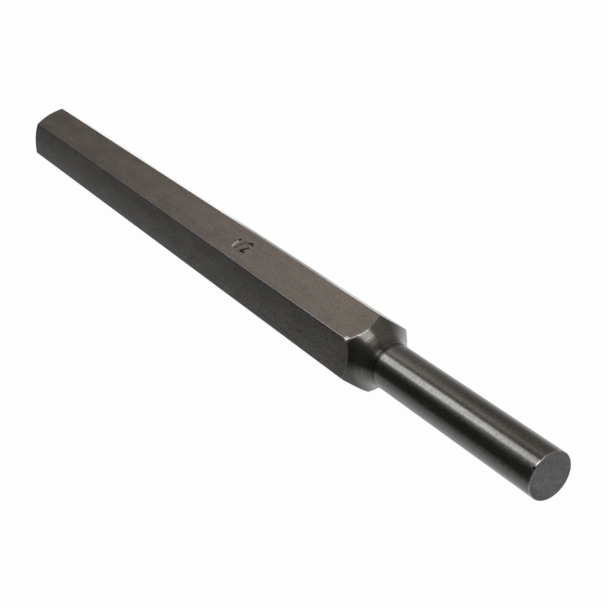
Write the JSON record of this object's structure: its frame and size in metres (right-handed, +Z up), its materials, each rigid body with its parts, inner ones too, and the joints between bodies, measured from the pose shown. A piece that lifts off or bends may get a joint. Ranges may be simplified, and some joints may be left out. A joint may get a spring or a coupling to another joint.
{
  "type": "pin punch",
  "caption": "Heavy pin punch: a bevelled hexagon bar to strike, with a turned shoulder that runs through a hollow and a short neck into a long straight round pin.",
  "frame": {"origin": "middle of the punch's box on the surface it lies on", "axes": "+X along the punch, from the struck face to the tip; +Z up, out of the flat opposite the one it lies on"},
  "size_m": [0.2666, 0.0218, 0.019],
  "materials": {
    "blackened_steel": "black oxide on drawn and ground steel, slightly brown, satin"
  },
  "bodies": {
    "root": {"punch": "blackened_steel"}
  },
  "joints": []
}
